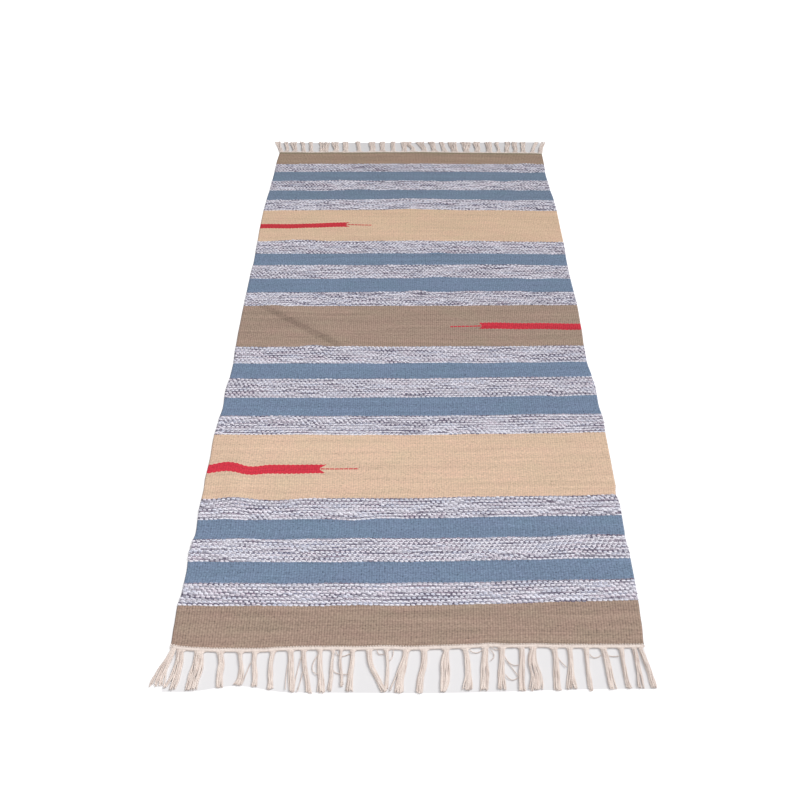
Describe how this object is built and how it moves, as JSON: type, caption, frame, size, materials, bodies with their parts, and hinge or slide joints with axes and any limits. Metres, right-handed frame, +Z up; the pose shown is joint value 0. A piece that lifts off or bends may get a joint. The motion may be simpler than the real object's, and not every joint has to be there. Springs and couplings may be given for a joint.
{
  "type": "kilim rug",
  "caption": "Flat-woven cotton kilim rug lying flat, with cross stripes, short red bars and a tasselled warp fringe along each end.",
  "frame": {"origin": "middle of the woven cloth, on the floor it lies on", "axes": "+X to the right selvedge seen from the near end, +Y along the cloth to the far end, +Z up"},
  "size_m": [0.7267, 1.5312, 0.0074],
  "materials": {
    "weft_cloth": "matt weft-faced cotton weave in cross stripes of grey-white marl, dusty blue, sand and taupe, with red bars",
    "warp_fringe": "matt undyed cream cotton yarn"
  },
  "bodies": {
    "root": {"woven_field": "weft_cloth", "near_fringe": "warp_fringe", "far_fringe": "warp_fringe"}
  },
  "joints": []
}
